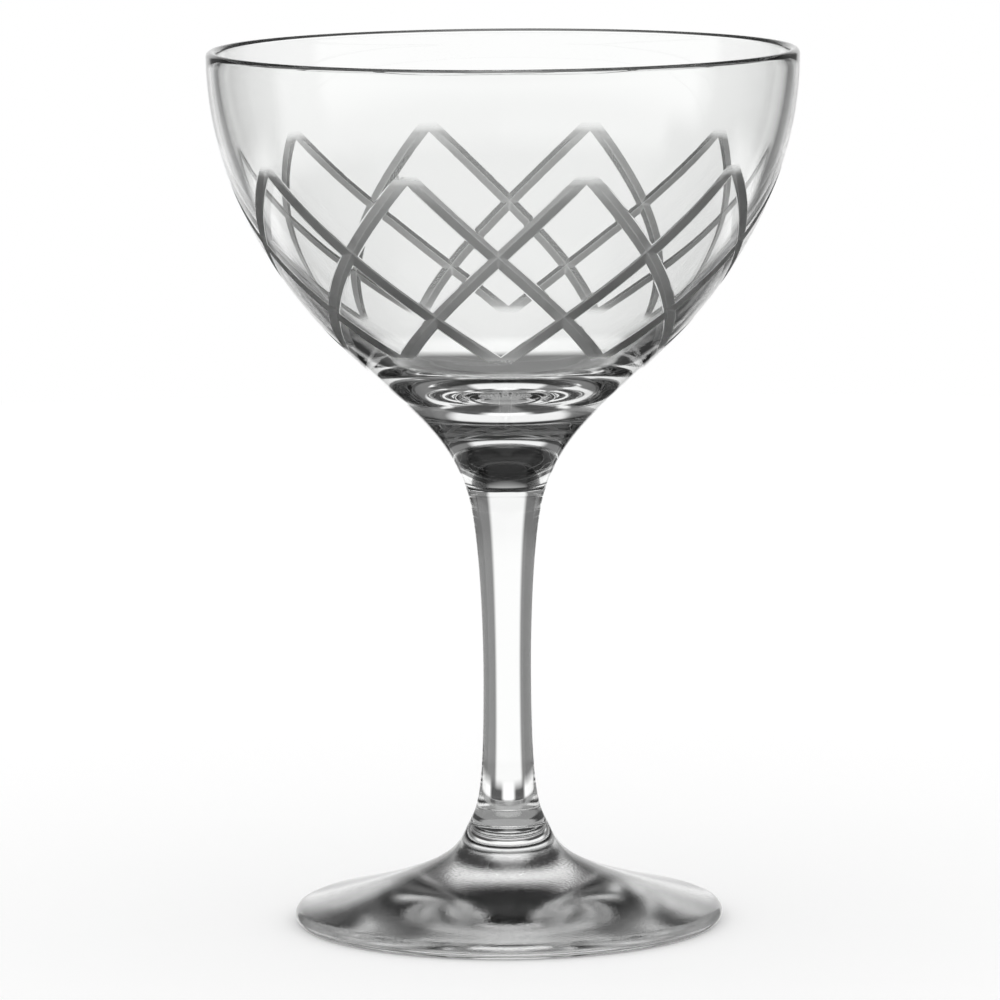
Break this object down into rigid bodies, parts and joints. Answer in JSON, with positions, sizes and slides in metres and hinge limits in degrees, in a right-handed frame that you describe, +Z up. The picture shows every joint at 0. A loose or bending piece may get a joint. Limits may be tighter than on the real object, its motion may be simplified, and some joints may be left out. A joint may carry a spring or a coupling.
{
  "type": "cocktail glass",
  "caption": "Clear stemmed cocktail glass: wide rounded bowl with a diamond-cut band, slim drawn stem and spread round foot; stands on a table and holds a short drink.",
  "frame": {"origin": "on the table plane, under the centre of the foot", "axes": "+Z up along the glass's axis; -Y is the side the picture shows, +X to its right"},
  "size_m": [0.094, 0.094, 0.14],
  "materials": {
    "clear_glass": "clear colourless glass, fire-polished, with satin wheel cuts"
  },
  "bodies": {
    "root": {"foot": "clear_glass", "stem": "clear_glass", "bowl": "clear_glass"}
  },
  "joints": []
}
